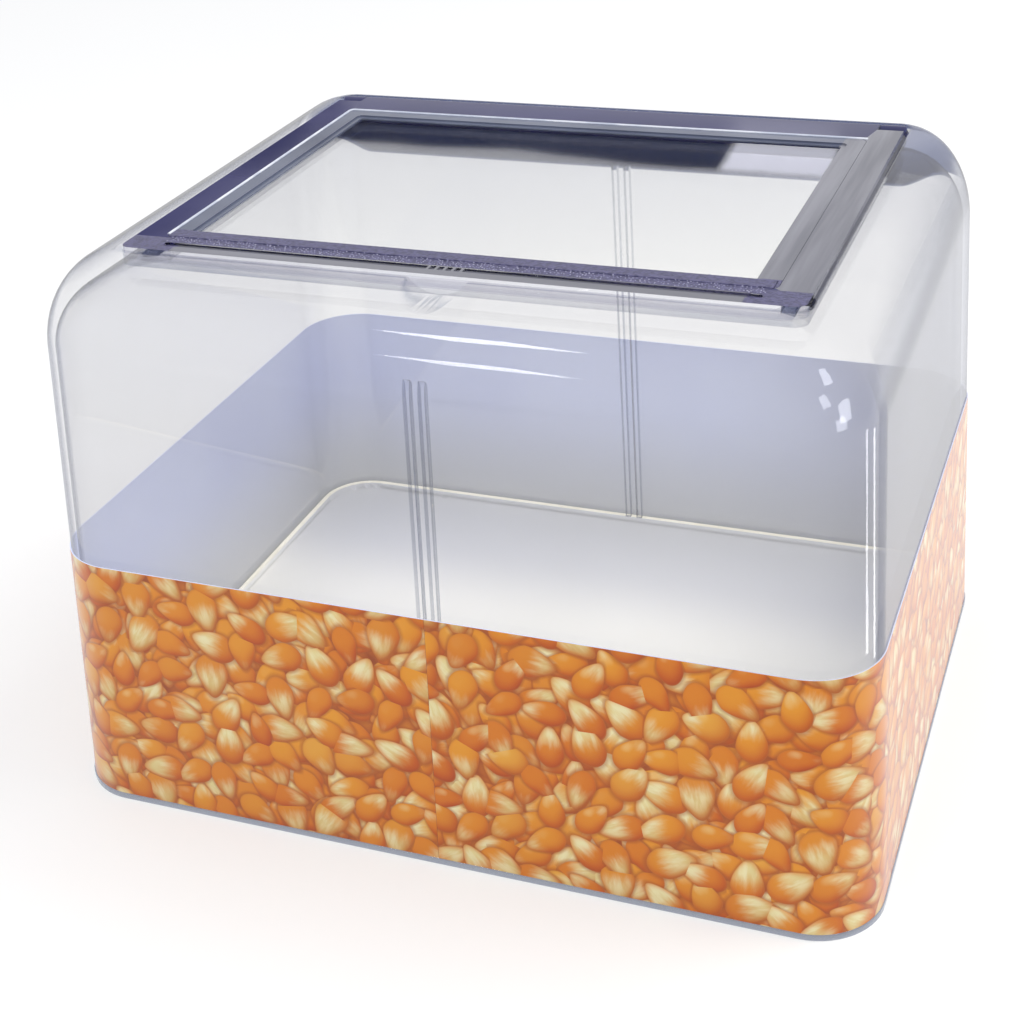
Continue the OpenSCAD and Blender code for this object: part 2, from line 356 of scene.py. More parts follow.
@dataclass(frozen=True)
class Moulded(Finish):
    """Opaque moulded plastic with a faint flow pattern and, where it has one, a moulded grain."""

    base: str
    tone: str
    rough: float
    specular: float = 0.5
    flow_mm: float = 60.0
    grain_mm: float = 0.0
    grain_depth_mm: float = 0.0
    # strength of a painted glow: an even emission of the moulding's own colour, where a moulding is given one
    lit: float = 0.0
    stretch: Triple = (1.0, 1.0, 1.0)

    def grade(self, tree: Tree, where: Socket, colour: Node) -> Node:
        """Lets a kind of moulding grade its colour by place; the plain one leaves it."""
        return colour

    def surface(self, tree: Tree) -> Node:
        """Draws two near tones in slow swirls, a roughness that varies with them, and the grain.

        Args:
            tree: the material's tree, empty as yet.

        Returns:
            The last shader.
        """
        where = add(tree, Kind.COORDS).outputs["Object"]
        drawn = add(tree, Kind.MAPPING, {"Vector": where, "Scale": self.stretch})
        swirl = {"Vector": drawn, "Scale": 1 / (self.flow_mm * MM), "Detail": 3.0, "Roughness": 0.55}
        flow = add(tree, Kind.NOISE, swirl)
        toned = add(tree, Kind.BLEND, (add(tree, Kind.EASE, (flow, 0.35, 0.65)), self.base, self.tone))
        colour = self.grade(tree, where, toned)
        feeds = {
            "Base Color": colour,
            "Roughness": add(tree, Kind.EASE, (flow, 0.3, 0.7, self.rough * 0.85, self.rough * 1.2)),
            "Specular IOR Level": self.specular,
            "Emission Color": colour,
            "Emission Strength": self.lit,
        }
        if self.grain_mm:
            grain = add(tree, Kind.NOISE, {"Vector": where, "Scale": 1 / (self.grain_mm * MM), "Detail": 2.0})
            relief = {"Height": grain, "Strength": 0.6, "Distance": self.grain_depth_mm * MM}
            feeds["Normal"] = add(tree, Kind.BUMP, relief)
        return add(tree, Kind.PLASTIC, feeds)


@dataclass(frozen=True)
class MilkyPlate(Moulded):
    """A milky plate with a painted glow for the little light that it lets through, and painted shade that greys it
    towards the rear.
    """

    rear_shade: str = "e2e2e3"
    front_y: float = 25.0
    rear_y: float = 80.0

    def grade(self, tree: Tree, where: Socket, colour: Node) -> Node:
        """Paints shade into the milky tone, greyer from the front to the rear.

        Args:
            tree: the node tree.
            where: object coordinates.
            colour: the milky tone.

        Returns:
            The graded tone.
        """
        y = add(tree, Kind.XYZ, [where]).outputs["Y"]
        rearward = add(tree, Kind.EASE, (y, self.front_y * MM, self.rear_y * MM))
        return add(tree, Kind.BLEND, (rearward, colour, self.rear_shade))


@dataclass(frozen=True)
class BrightEdge(Finish):
    """Painted light along an edge of tinted clear plastic: a pale colour, and a glow where it has one, for the light
    that the polished edge gathers inside and shines with against the moulding.
    """

    core: str
    glow: str
    gleam: float = 0.0
    flow_mm: float = 14.0

    def surface(self, tree: Tree) -> Node:
        """Draws the pale edge in two near tones, with its painted glow, under a full gloss.

        Args:
            tree: the material's tree, empty as yet.

        Returns:
            The last shader.
        """
        where = add(tree, Kind.COORDS).outputs["Object"]
        flow = add(tree, Kind.NOISE, {"Vector": where, "Scale": 1 / (self.flow_mm * MM), "Detail": 2.0})
        colour = add(tree, Kind.BLEND, (add(tree, Kind.EASE, (flow, 0.38, 0.62)), self.core, self.glow))
        # painted glow: an emission of the edge's own pale colour
        lit = {"Emission Color": colour, "Emission Strength": self.gleam}
        return add(tree, Kind.PLASTIC, {"Base Color": colour, "Roughness": 0.08, **lit})


@dataclass(frozen=True)
class DrawnSteel(Finish):
    """Bright drawn steel wire: fine draw marks that blur its highlights lengthwise."""

    name: str = "drawn_steel_wire"
    mark_mm: float = 0.15

    def surface(self, tree: Tree) -> Node:
        """Draws the metal with its draw marks running along X.

        Args:
            tree: the material's tree, empty as yet.

        Returns:
            The last shader.
        """
        where = add(tree, Kind.COORDS).outputs["Object"]
        drawn = add(tree, Kind.MAPPING, {"Vector": where, "Scale": (0.04, 1.0, 1.0)})
        marks = add(tree, Kind.NOISE, {"Vector": drawn, "Scale": 1 / (self.mark_mm * MM), "Detail": 2.0})
        colour = add(tree, Kind.RAMP, [marks], stops=((0.3, "b4b6ba"), (0.7, "d2d4d8")))
        rough = add(tree, Kind.EASE, (marks, 0.3, 0.7, 0.2, 0.34))
        return add(tree, Kind.PLASTIC, {"Base Color": colour, "Roughness": rough, "Metallic": 1.0})


@dataclass(frozen=True)
class KernelPrint(Finish):
    """Gloss film printed with heaped popcorn kernels about 17 mm long, a plain commodity pattern.

    Each layer is one 2-D Voronoi whose cells hold one kernel each, turned and coloured by the cell's random colour.
    Lower layers show in the gaps of the upper ones, and each kernel throws a soft dark ring on what lies under it.
    """

    name: str = "gravure_printed_film"
    pitch_mm: float = 14.2
    half_length_mm: float = 8.9
    half_width_mm: float = 6.1
    layers: int = 4
    loose: float = 0.55
    deep_pitch_mm: float = 9.0
    ink_tint: str = "eeeccc"

    def kernel_group(self) -> Tree:
        """Builds the group that draws one kernel.

        Returns:
            A group with inputs Offset (mm from the kernel's middle), Random (a colour) and Under (the colour below),
            and output Colour.
        """
        g = bpy.data.node_groups.new("kernel", "ShaderNodeTree")
        given, result = ends(g, {"Offset": "Vector", "Random": "Color", "Under": "Color"}, {"Colour": "Color"})
        r1, r2, r3 = add(g, "ShaderNodeSeparateColor", [given["Random"]]).outputs
        turn = {"Vector": given["Offset"], "Angle": add(g, Kind.TIMES, (r1, 2 * math.pi))}
        turned = add(g, "ShaderNodeVectorRotate", turn, rotation_type="Z_AXIS")
        along, across, _ = add(g, Kind.XYZ, [turned]).outputs
        size = add(g, Kind.EVEN, (r3, 0.0, 1.0, 0.84, 1.08))
        slim = add(g, Kind.EVEN, (r2, 0.0, 1.0, 0.78, 1.02))
        x = add(g, Kind.OVER, (add(g, Kind.OVER, (along, self.half_length_mm)), size))
        y = add(g, Kind.OVER, (add(g, Kind.OVER, (across, self.half_width_mm)), add(g, Kind.TIMES, (size, slim))))
        # egg form: the half with x above 0 narrows to the pointed tip
        narrow = add(g, Kind.TIMES, (add(g, Kind.MOST, (x, -0.35)), 0.36))
        y = add(g, Kind.OVER, (y, add(g, Kind.MINUS, (1.0, narrow))))
        square = add(g, Kind.PLUS, (add(g, Kind.TIMES, (x, x)), add(g, Kind.TIMES, (y, y))))
        rad = add(g, Kind.ROOT, [square])
        cover = add(g, Kind.EASE, (rad, 0.985, 1.02, 1.0, 0.0))
        # painted light from the upper left of the print
        flat = add(g, Kind.VECTORS, [given["Offset"]], operation="NORMALIZE")
        lamp = add(g, Kind.VECTORS, (flat, (-0.42, 0.78, 0.0)), operation="DOT_PRODUCT")
        slope = add(g, Kind.TIMES, (lamp, add(g, Kind.TIMES, (rad, 0.55))))
        dome = add(g, Kind.ROOT, [add(g, Kind.MOST, (add(g, Kind.MINUS, (1.0, square)), 0.0))])
        lit = add(g, Kind.PLUS, (slope, add(g, Kind.TIMES, (dome, 0.62))))
        # colour: orange flesh, pale floury part towards the tip, streaks along the kernel
        skew = add(g, Kind.VECTORS, (turned, given["Random"]), operation="ADD")
        streak_at = add(g, Kind.MAPPING, {"Vector": skew, "Scale": (0.09, 0.38, 1.0)})
        own = add(g, Kind.TIMES, (r1, 90.0))
        fibres = {"Vector": streak_at, "W": own, "Scale": 1.0, "Detail": 3.0, "Roughness": 0.6}
        streak = add(g, Kind.NOISE, fibres, noise_dimensions="4D")
        tones = ((0.0, "de7d18"), (0.3, "e68c20"), (0.6, "eea02c"), (0.85, "e28a24"), (1.0, "f0b04a"))
        flesh = add(g, Kind.RAMP, [r2], stops=tones)
        drift = add(g, Kind.TIMES, (add(g, Kind.MINUS, (r3, 0.5)), 1.3))
        floury = add(g, Kind.PLUS, (add(g, Kind.PLUS, (x, add(g, Kind.MINUS, (streak, 0.5)))), drift))
        inner = add(g, Kind.EASE, (rad, 0.55, 1.05, 1.0, 0.35))
        pale = add(g, Kind.TIMES, (add(g, Kind.EASE, (floury, -0.1, 0.85)), inner))
        cream = add(g, Kind.BLEND, (add(g, Kind.EASE, (streak, 0.4, 0.62)), "ecdcb4", "f7efdc"))
        skin = add(g, Kind.BLEND, (pale, flesh, cream))
        shades = ((0.0, "c07432"), (0.4, "e3b483"), (0.75, "f8ebdc"), (1.0, "ffffff"))
        shadow = add(g, Kind.RAMP, [add(g, Kind.EVEN, (lit, -0.35, 0.75))], stops=shades)
        dark = add(g, Kind.STAIN, (1.0, skin, shadow))
        gleam = add(g, Kind.TIMES, (add(g, Kind.EASE, (lit, 0.66, 0.86, 0.0, 0.4)), add(g, Kind.EASE, (r1, 0.2, 0.8))))
        bright = add(g, Kind.BLEND, (gleam, dark, "fff2cf"))
        lined = add(g, Kind.BLEND, (add(g, Kind.EASE, (rad, 0.9, 1.0, 0.0, 0.4)), bright, "c67b35"))
        # soft contact shadow on what lies under
        below = add(g, Kind.BLEND, (add(g, Kind.EASE, (rad, 1.0, 1.28, 0.55, 0.0)), given["Under"], "a8501a"))
        feed(g, add(g, Kind.BLEND, (cover, below, lined)), result["Colour"])
        return g

    def surface(self, tree: Tree) -> Node:
        """Draws the film: the heap layer on layer, under a glossy laminate.

        Args:
            tree: the material's tree, empty as yet.

        Returns:
            The last shader.
        """
        group = self.kernel_group()
        film = add(tree, "ShaderNodeUVMap", uv_map=PrintedWrap.UV)
        deep = add(tree, Kind.CELLS, {"Vector": film, "Scale": 1 / self.deep_pitch_mm, "Randomness": 0.9})
        depths = ((0.0, "cf7a26"), (0.45, "ba5f1e"), (0.75, "96400f"), (1.0, "7a2d0c"))
        colour = add(tree, Kind.RAMP, [deep], stops=depths)
        for layer in range(self.layers):
            start = (37.3 * layer + 5.1, 23.7 * layer * layer + 11.9, 0.0)
            shift = add(tree, Kind.MAPPING, {"Vector": film, "Location": start})
            for rank in ("F2", "F1"):
                heap = {"Vector": shift, "Scale": 1 / self.pitch_mm, "Randomness": self.loose}
                cell = add(tree, Kind.CELLS, heap, feature=rank).outputs
                offset = add(tree, Kind.VECTORS, (shift, cell["Position"]), operation="SUBTRACT")
                one = {"Offset": offset, "Random": cell["Color"], "Under": colour}
                colour = add(tree, "ShaderNodeGroup", one, node_tree=group)
        colour = add(tree, Kind.STAIN, (1.0, colour, self.ink_tint))
        coat = {"Specular IOR Level": 0.25, "Coat Weight": 0.25, "Coat Roughness": 0.05}
        ink = add(tree, Kind.PLASTIC, {"Base Color": colour, "Roughness": 0.4, **coat})
        # gloss laminate: a clear film over the ink, with a haze that grows where it is seen from the side
        side = add(tree, Kind.SLANT).outputs["Facing"]
        haze = add(tree, Kind.TIMES, (add(tree, Kind.POWER, (side, 2.6)), 0.43), use_clamp=True)
        laminate = add(tree, Kind.GLOSSY, {"Color": "ffffff", "Roughness": 0.16})
        return add(tree, Kind.MIXED, (haze, ink, laminate))


@dataclass(frozen=True)
class FilmReverse(Finish):
    """Uncoated back of the printed film: pale blue white, evenly matt, with slow clouds in its white backing."""

    name: str = "film_reverse"
    cloud_mm: float = 80.0
    foot_tone: str = "d6d7da"
    right_painted_shade: str = "b9bac4"

    def surface(self, tree: Tree) -> Node:
        """Draws the pale reverse, neutral towards the foot, greyer towards the right in painted shade, and with a
        painted glow.

        Args:
            tree: the material's tree, empty as yet.

        Returns:
            The last shader.
        """
        where = add(tree, Kind.COORDS).outputs["Object"]
        cloud = add(tree, Kind.NOISE, {"Vector": where, "Scale": 1 / (self.cloud_mm * MM), "Detail": 2.0})
        colour = add(tree, Kind.RAMP, [cloud], stops=((0.35, "d0d6f3"), (0.65, "dae0f8")))
        x, _, z = add(tree, Kind.XYZ, [where]).outputs
        colour = add(tree, Kind.BLEND, (add(tree, Kind.EASE, (z, 12 * MM, 78 * MM)), self.foot_tone, colour))
        # painted shade: the reverse greys towards the right, where the bin's inside is in shade
        grey = add(tree, Kind.EASE, (x, 30 * MM, 150 * MM, 0.0, 0.62))
        colour = add(tree, Kind.BLEND, (grey, colour, self.right_painted_shade))
        # painted glow: an even emission stands in for the daylight on the printed side that glows through the thin
        # film's white backing
        lit = {"Emission Color": colour, "Emission Strength": 0.16}
        return add(tree, Kind.PLASTIC, {"Base Color": colour, "Roughness": 0.5, "Specular IOR Level": 0.35, **lit})


@dataclass(frozen=True)
class CardGlow(Finish):
    """A studio card, evenly bright, or dark as a flag: reflections show it as one soft patch."""

    tint: str
    strength: float

    def surface(self, tree: Tree) -> Node:
        """Draws the even glow."""
        return add(tree, Kind.GLOW, (self.tint, self.strength))


@dataclass(frozen=True)
class FloorPaper(Finish):
    """White background paper: it bounces soft light, and is seen near white with the object's shadow on it."""

    name: str = "floor_paper"

    def surface(self, tree: Tree) -> Node:
        """Draws plain paper for the light, and dimmer paper with a glow where it is seen.

        Args:
            tree: the material's tree, empty as yet.

        Returns:
            The last shader.
        """
        paper = add(tree, "ShaderNodeBsdfDiffuse", ["e7e7e7"])
        dim = add(tree, "ShaderNodeBsdfDiffuse", ["cbcccd"])
        both = add(tree, "ShaderNodeAddShader", (dim, add(tree, Kind.GLOW, ("ffffff", 0.4))))
        return add(tree, Kind.MIXED, (seen(tree), paper, both))


# -------------------- mesh helpers


def linked(mesh: Mesh, materials: Iterable[Material] = ()) -> Piece:
    """Links a mesh into the scene as an object of its name, with its materials in slot order.

    Args:
        mesh: the mesh.
        materials: its materials.

    Returns:
        The object.
    """
    for material in materials:
        mesh.materials.append(material)
    obj = bpy.data.objects.new(mesh.name, mesh)
    bpy.context.scene.collection.objects.link(obj)
    return obj


def outlined(name: str, points: list[Triple], edges: Any = (), faces: Any = (), materials: Any = ()) -> Piece:
    """Makes an object from a few points in metres, joined by edges or faces.

    Args:
        name: its name.
        points: its corners.
        edges: pairs of corners.
        faces: rings of corners.
        materials: its materials.

    Returns:
        The object.
    """
    mesh = bpy.data.meshes.new(name)
    mesh.from_pydata(points, edges, faces)
    return linked(mesh, materials)


def welded(node: str) -> bmesh.types.BMesh:
    """Copies a CAD node's loose triangles into one closed mesh.

    Args:
        node: the CAD node.

    Returns:
        The mesh, not yet written.
    """
    bm = bmesh.new()
    bm.from_mesh(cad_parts[node].data)
    bmesh.ops.remove_doubles(bm, verts=bm.verts, dist=WELD)
    bmesh.ops.dissolve_degenerate(bm, edges=bm.edges, dist=WELD / 2)
    return bm


def smoothed(bm: bmesh.types.BMesh, pick: Optional[Pick]) -> None:
    """Shades all faces smooth and gives each its material slot.

    Args:
        bm: the mesh.
        pick: gives a face's slot from its centre and normal.
    """
    bm.normal_update()
    for face in bm.faces:
        face.smooth = True
        if pick:
            face.material_index = pick(face.calc_center_median(), face.normal)


def written(bm: bmesh.types.BMesh, name: str) -> Mesh:
    """Writes the built faces to a new mesh and frees them.

    Args:
        bm: the built faces.
        name: the mesh's name.

    Returns:
        The new mesh.
    """
    mesh = bpy.data.meshes.new(name)
    bm.to_mesh(mesh)
    bm.free()
    return mesh


def even_normals(obj: Piece, weight: int) -> None:
    """Leans the normals to the larger faces, so that flats stay flat beside their rounded edges.

    Args:
        obj: the piece.
        weight: how far they lean, from 1 to 100.
    """
    even = obj.modifiers.new("even_normals", "WEIGHTED_NORMAL")
    even.keep_sharp = True
    even.weight = weight


def twin(node: str, name: str, sharp_deg: float, materials: list[Material], pick: Optional[Pick] = None) -> Piece:
    """Makes a smooth-shaded copy of a CAD node that stands in for it.

    Args:
        node: the CAD node.
        name: name of the new piece.
        sharp_deg: edges that turn more than this stay sharp.
        materials: materials of the piece, in slot order.
        pick: gives a face's slot from its centre and normal.

    Returns:
        The new piece, riding nowhere yet.
    """
    bm = welded(node)
    smoothed(bm, pick)
    mesh = written(bm, name)
    mesh.set_sharp_from_angle(angle=math.radians(sharp_deg))
    obj = linked(mesh, materials)
    even_normals(obj, 80)
    return obj


def crisp(
    node: str,
    name: str,
    round_mm: float,
    materials: list[Material],
    pick: Optional[Pick] = None,
    cuts: Iterable[Cut] = (),
) -> Piece:
    """Makes a copy of a CAD node with whole flat faces and softly broken edges, as a mould leaves them.

    Args:
        node: the CAD node.
        name: name of the new piece.
        round_mm: width of the broken edges.
        materials: materials of the piece, in slot order.
        pick: gives a face's slot from its centre and normal.
        cuts: planes, each a point and a normal, where the finish changes.

    Returns:
        The new piece, riding nowhere yet.
    """
    bm = welded(node)
    for point, normal in cuts:
        parts = bm.verts[:] + bm.edges[:] + bm.faces[:]
        bmesh.ops.bisect_plane(bm, geom=parts, dist=1e-6, plane_co=point, plane_no=normal)
    smoothed(bm, pick)
    flat = math.radians(0.5)
    bmesh.ops.dissolve_limit(bm, angle_limit=flat, verts=bm.verts, edges=bm.edges, delimit={"MATERIAL"})
    obj = linked(written(bm, name), materials)
    soft = obj.modifiers.new("broken_edges", "BEVEL")
    soft.width = round_mm * MM
    soft.segments = 3
    soft.limit_method = "ANGLE"
    soft.angle_limit = math.radians(35)
    soft.harden_normals = True
    even_normals(obj, 90)
    return baked(obj)


def baked(obj: Piece) -> Piece:
    """Turns a piece with live modifiers into a plain mesh.

    Args:
        obj: the piece.

    Returns:
        The same piece, without modifiers.
    """
    bpy.context.view_layer.update()
    plain = bpy.data.meshes.new_from_object(obj.evaluated_get(bpy.context.evaluated_depsgraph_get()))
    plain.name = obj.name
    obj.modifiers.clear()
    obj.data = plain
    return obj


def run_tree(obj: Piece, tree: Tree, values: dict[str, Any]) -> Piece:
    """Runs a Geometry Nodes tree on a piece with its named inputs, and bakes the result.

    Args:
        obj: the piece that carries the base geometry.
        tree: the tree.
        values: input names and their values.

    Returns:
        The same piece as a plain, smooth-shaded mesh.
    """
    mod = obj.modifiers.new(tree.name, "NODES")
    mod.node_group = tree
    for item in tree.interface.items_tree:
        if item.item_type == "SOCKET" and item.in_out == "INPUT" and item.name in values:
            mod[item.identifier] = values[item.name]
    baked(obj)
    for poly in obj.data.polygons:
        poly.use_smooth = True
    return obj


def place(obj: Piece, body: Body, slot: Slot, *replaced: str) -> None:
    """Lets a piece ride on a body, hides the CAD nodes that it stands for, and logs its slot and those nodes.

    Args:
        obj: the piece.
        body: the body that carries it.
        slot: the record's material slot.
        replaced: CAD nodes that it stands for.
    """
    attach(obj, body.value)
    if replaced:
        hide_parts(*replaced)
    stands_for = ", ".join(replaced) or "nothing"
    LOG.info("%s rides on %s, slot %s, stands for %s", obj.name, body.value, slot.value, stands_for)


# -------------------- sub-assemblies


class ShellFace(enum.IntEnum):
    """Finishes on the shell."""

    WALL = 0
    RECESS = 1
    RIB = 2


@dataclass
class ClearShell:
    """The moulded shell: clear walls and shoulders, a violet band in the rear shoulder, a polished thumb recess."""

    # clear SAN, injection-moulded: glassy, faintly wavy, violet in its thick rear shoulder
    clear: TintedMoulding = TintedMoulding("clear_san_moulding", "fbfbfb", "f3f3f4", "9397aa", most_gloss=0.5)
    # the same plastic, polished in the tool: hardly any reflection in the narrow pocket
    recess: ClearMoulding = ClearMoulding("polished_san_recess", "fbfbfb", "f6f6f7", "e2e4ea", gloss=0.15)
    # the ribs' sides, seen edge-on through more plastic: tinted grey at every angle, partly for that longer path and
    # partly as painted shade for the thin dark lines along them
    rib: ClearMoulding = ClearMoulding("clear_san_rib_side", "d8d9de", "cdcfd6", "b4b8c2", gloss=0.6)

    rib_half_w: float = 6.0
    rib_y: float = 100.0
    rib_top: float = 192.0
    pocket_y: Pair = (-90.5, -60.0)
    pocket_half_w: float = 123.0
    pocket_z: float = 205.0
    recess_half_w: float = 12.5
    recess_y: float = -80.0
    recess_z: float = 195.0

    def slot_of(self, centre: Vector, normal: Vector) -> int:
        """Tells the ribs' sides and the polished recess and pocket front from the walls.

        Args:
            centre: the face's centre in metres.
            normal: its normal.

        Returns:
            The face's slot.
        """
        x, y, z = centre / MM
        if abs(x) < self.rib_half_w and abs(y) > self.rib_y and z < self.rib_top and abs(normal.x) > 0.7:
            return ShellFace.RIB
        if self.pocket_y[0] < y < self.pocket_y[1] and z > self.pocket_z and abs(x) < self.pocket_half_w:
            return ShellFace.RECESS
        near = abs(x) < self.recess_half_w and y < self.recess_y and z > self.recess_z
        return ShellFace.RECESS if near and abs(normal.x) + abs(normal.z) > 0.2 else ShellFace.WALL

    def build(self) -> None:
        """Builds the smooth shell over its node."""
        finishes = [self.clear.build(), self.recess.build(), self.rib.build()]
        place(twin("shell", "shell_moulding", 24, finishes, self.slot_of), Body.BIN, Slot.SHELL, "shell")


@dataclass
class PrintedWrap:
    """Two printed film halves that meet in front and behind, with arc length and height in mm as their UV map."""

    UV: ClassVar[str] = "film_mm"
    half_w: float = 159.2
    half_d: float = 127.2
    corner_r: float = 25.0
    glue: float = 0.1
    film: float = 0.45
    z0: float = 2.4
    z1: float = 104.0
    rows: int = 12
    straight_steps: int = 6
    corner_steps: int = 24
    gap: float = 0.06
    left_start: float = -411.0
    # gravure-printed laminate: saturated ink under a wet-looking gloss
    printed: KernelPrint = KernelPrint()
    # its white-backed reverse: matt and pale
    reverse: FilmReverse = FilmReverse()

    def path(self, z: float, out: float) -> list[Pair]:
        """Plan points of the right half at one height, from the front seam round the side to the rear seam.

        Args:
            z: height in mm.
            out: offset outside the shell wall in mm.

        Returns:
            The points.
        """
        w = self.half_w + out - z * math.tan(DRAFT)
        d = self.half_d + out - z * math.tan(DRAFT)
        r, n = self.corner_r + out, self.straight_steps
        turns = [math.pi / 2 * i / self.corner_steps for i in range(self.corner_steps + 1)]
        pts = [(self.gap + (w - r - self.gap) * i / n, -d) for i in range(n)]
        pts += [(w - r + r * math.sin(a), -d + r - r * math.cos(a)) for a in turns]
        pts += [(w, -d + r + (2 * d - 2 * r) * i / n) for i in range(1, n)]
        pts += [(w - r + r * math.cos(a), d - r + r * math.sin(a)) for a in turns]
        pts += [(w - r - (w - r - self.gap) * i / n, d) for i in range(1, n + 1)]
        return pts

    def half(self, side: int, name: str, mats: list[Material]) -> Piece:
        """Builds one half as a closed thin band.

        Args:
            side: 1 right, -1 left.
            name: the piece's name.
            mats: print and reverse.

        Returns:
            The piece.
        """
        bm = bmesh.new()
        uv = bm.loops.layers.uv.new(self.UV)
        run: dict[bmesh.types.BMVert, Pair] = {}
        start = 0.0 if side > 0 else self.left_start

        def row(z: float, out: float) -> list[bmesh.types.BMVert]:
            """Sets the points of one height and keeps each one's arc length and height on the film.

            Args:
                z: height in mm.
                out: offset outside the shell wall in mm.

            Returns:
                The points, from the front seam to the rear one.
            """
            along, made, last = 0.0, [], None
            for x, y in self.path(z, out):
                along += math.dist((x, y), last) if last else 0.0
                last = (x, y)
                made.append(bm.verts.new((side * x * MM, y * MM, z * MM)))
                run[made[-1]] = (side * (along + self.gap) + start, z / math.cos(DRAFT))
            return made

        def quad(corners: list[bmesh.types.BMVert], slot: int) -> None:
            """Adds one face with its slot and UVs.

            Args:
                corners: its corners.
                slot: its slot.
            """
            face = bm.faces.new(corners if side > 0 else corners[::-1])
            face.material_index = slot
            face.smooth = True
            for loop in face.loops:
                loop[uv].uv = run[loop.vert]

        heights = [self.z0 + (self.z1 - self.z0) * j / self.rows for j in range(self.rows + 1)]
        outer = [row(z, self.glue + self.film) for z in heights]
        inner = [row(z, self.glue) for z in heights]
        columns = range(len(outer[0]) - 1)
        for j in range(self.rows):
            for i in columns:
                quad([outer[j][i], outer[j][i + 1], outer[j + 1][i + 1], outer[j + 1][i]], 0)
                quad([inner[j][i + 1], inner[j][i], inner[j + 1][i], inner[j + 1][i + 1]], 1)
        for i in columns:
            quad([outer[-1][i], outer[-1][i + 1], inner[-1][i + 1], inner[-1][i]], 1)
            quad([outer[0][i + 1], outer[0][i], inner[0][i], inner[0][i + 1]], 1)
        for j in range(self.rows):
            quad([inner[j][0], outer[j][0], outer[j + 1][0], inner[j + 1][0]], 0)
            quad([outer[j][-1], inner[j][-1], inner[j + 1][-1], outer[j + 1][-1]], 0)
        mesh = written(bm, name)
        mesh.set_sharp_from_angle(angle=math.radians(40))
        return linked(mesh, mats)

    def build(self) -> None:
        """Builds both halves over their nodes."""
        mats = [self.printed.build(), self.reverse.build()]
        place(self.half(1, "wrap_film_right", mats), Body.BIN, Slot.WRAP, "wrap_right")
        place(self.half(-1, "wrap_film_left", mats), Body.BIN, Slot.WRAP, "wrap_left")


@dataclass
class FloorPan:
    """The milky floor plate pushed in from below, with a painted light line on its rim."""

    # milky polystyrene: satin and slightly warm, with a painted glow for the light that it lets through
    milky: MilkyPlate = MilkyPlate("milky_styrene", "fcfaf2", "fffdf6", 0.32, flow_mm=90.0, lit=0.11)
    # painted light: the upstand's top as a thin ivory line that glows
    rim: BrightEdge = BrightEdge("painted_light_rim_line", "f6f1df", "fffaea", 0.3)
    rim_z: float = 9.8

    def slot_of(self, centre: Vector, normal: Vector) -> int:
        """Gives the top of the upstand its painted light line, the milky finish to everything else."""
        return 1 if centre.z / MM > self.rim_z else 0

    def build(self) -> None:
        """Builds the smooth floor over its node."""
        finishes = [self.milky.build(), self.rim.build()]
        place(twin("floor_pan", "floor_moulding", 30, finishes, self.slot_of), Body.BIN, Slot.FLOOR, "floor_pan")


class FrameFace(enum.IntEnum):
    """Finishes on the lid frame."""

    VIOLET = 0
    RAIL = 1
    GRAIN = 2
    PAINTED_GLARE = 3
    CLEAR = 4


class BezelFace(enum.IntEnum):
    """Finishes on the bezel."""

    PLAIN = 0
    GRAIN = 1
    PAINTED_GLARE = 2


